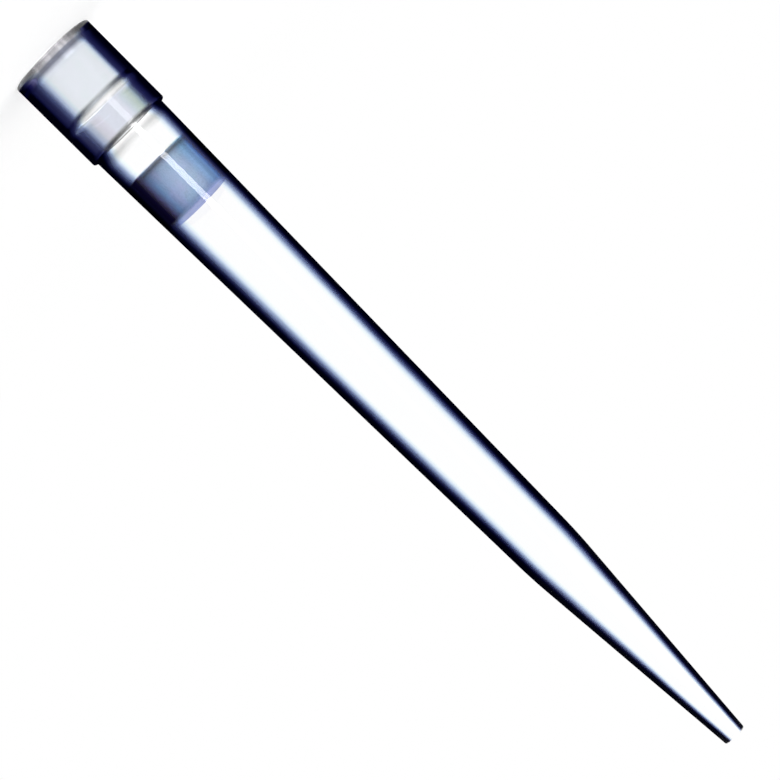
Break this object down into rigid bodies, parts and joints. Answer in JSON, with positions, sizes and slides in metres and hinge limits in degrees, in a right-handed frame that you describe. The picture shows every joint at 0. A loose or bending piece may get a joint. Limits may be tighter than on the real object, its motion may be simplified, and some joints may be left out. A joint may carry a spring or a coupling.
{
  "type": "filter pipette tip",
  "caption": "Long tapered clear pipette tip with a stepped collar and nozzle socket at its wide end, a porous filter plug inside, and a fine orifice.",
  "frame": {"origin": "on the tip's axis, in the plane of the mouth rim that it stands on", "axes": "+Z along the tip's axis, from the mouth rim up to the orifice; X and Y are any two square directions, because the tip is round"},
  "size_m": [0.0154, 0.0154, 0.15],
  "materials": {
    "clear_polypropylene": "clear, glossy, faintly hazy moulded plastic",
    "porous_filter": "matte, fine sintered grain"
  },
  "bodies": {
    "root": {"tip_body": "clear_polypropylene", "filter_plug": "porous_filter"}
  },
  "joints": []
}
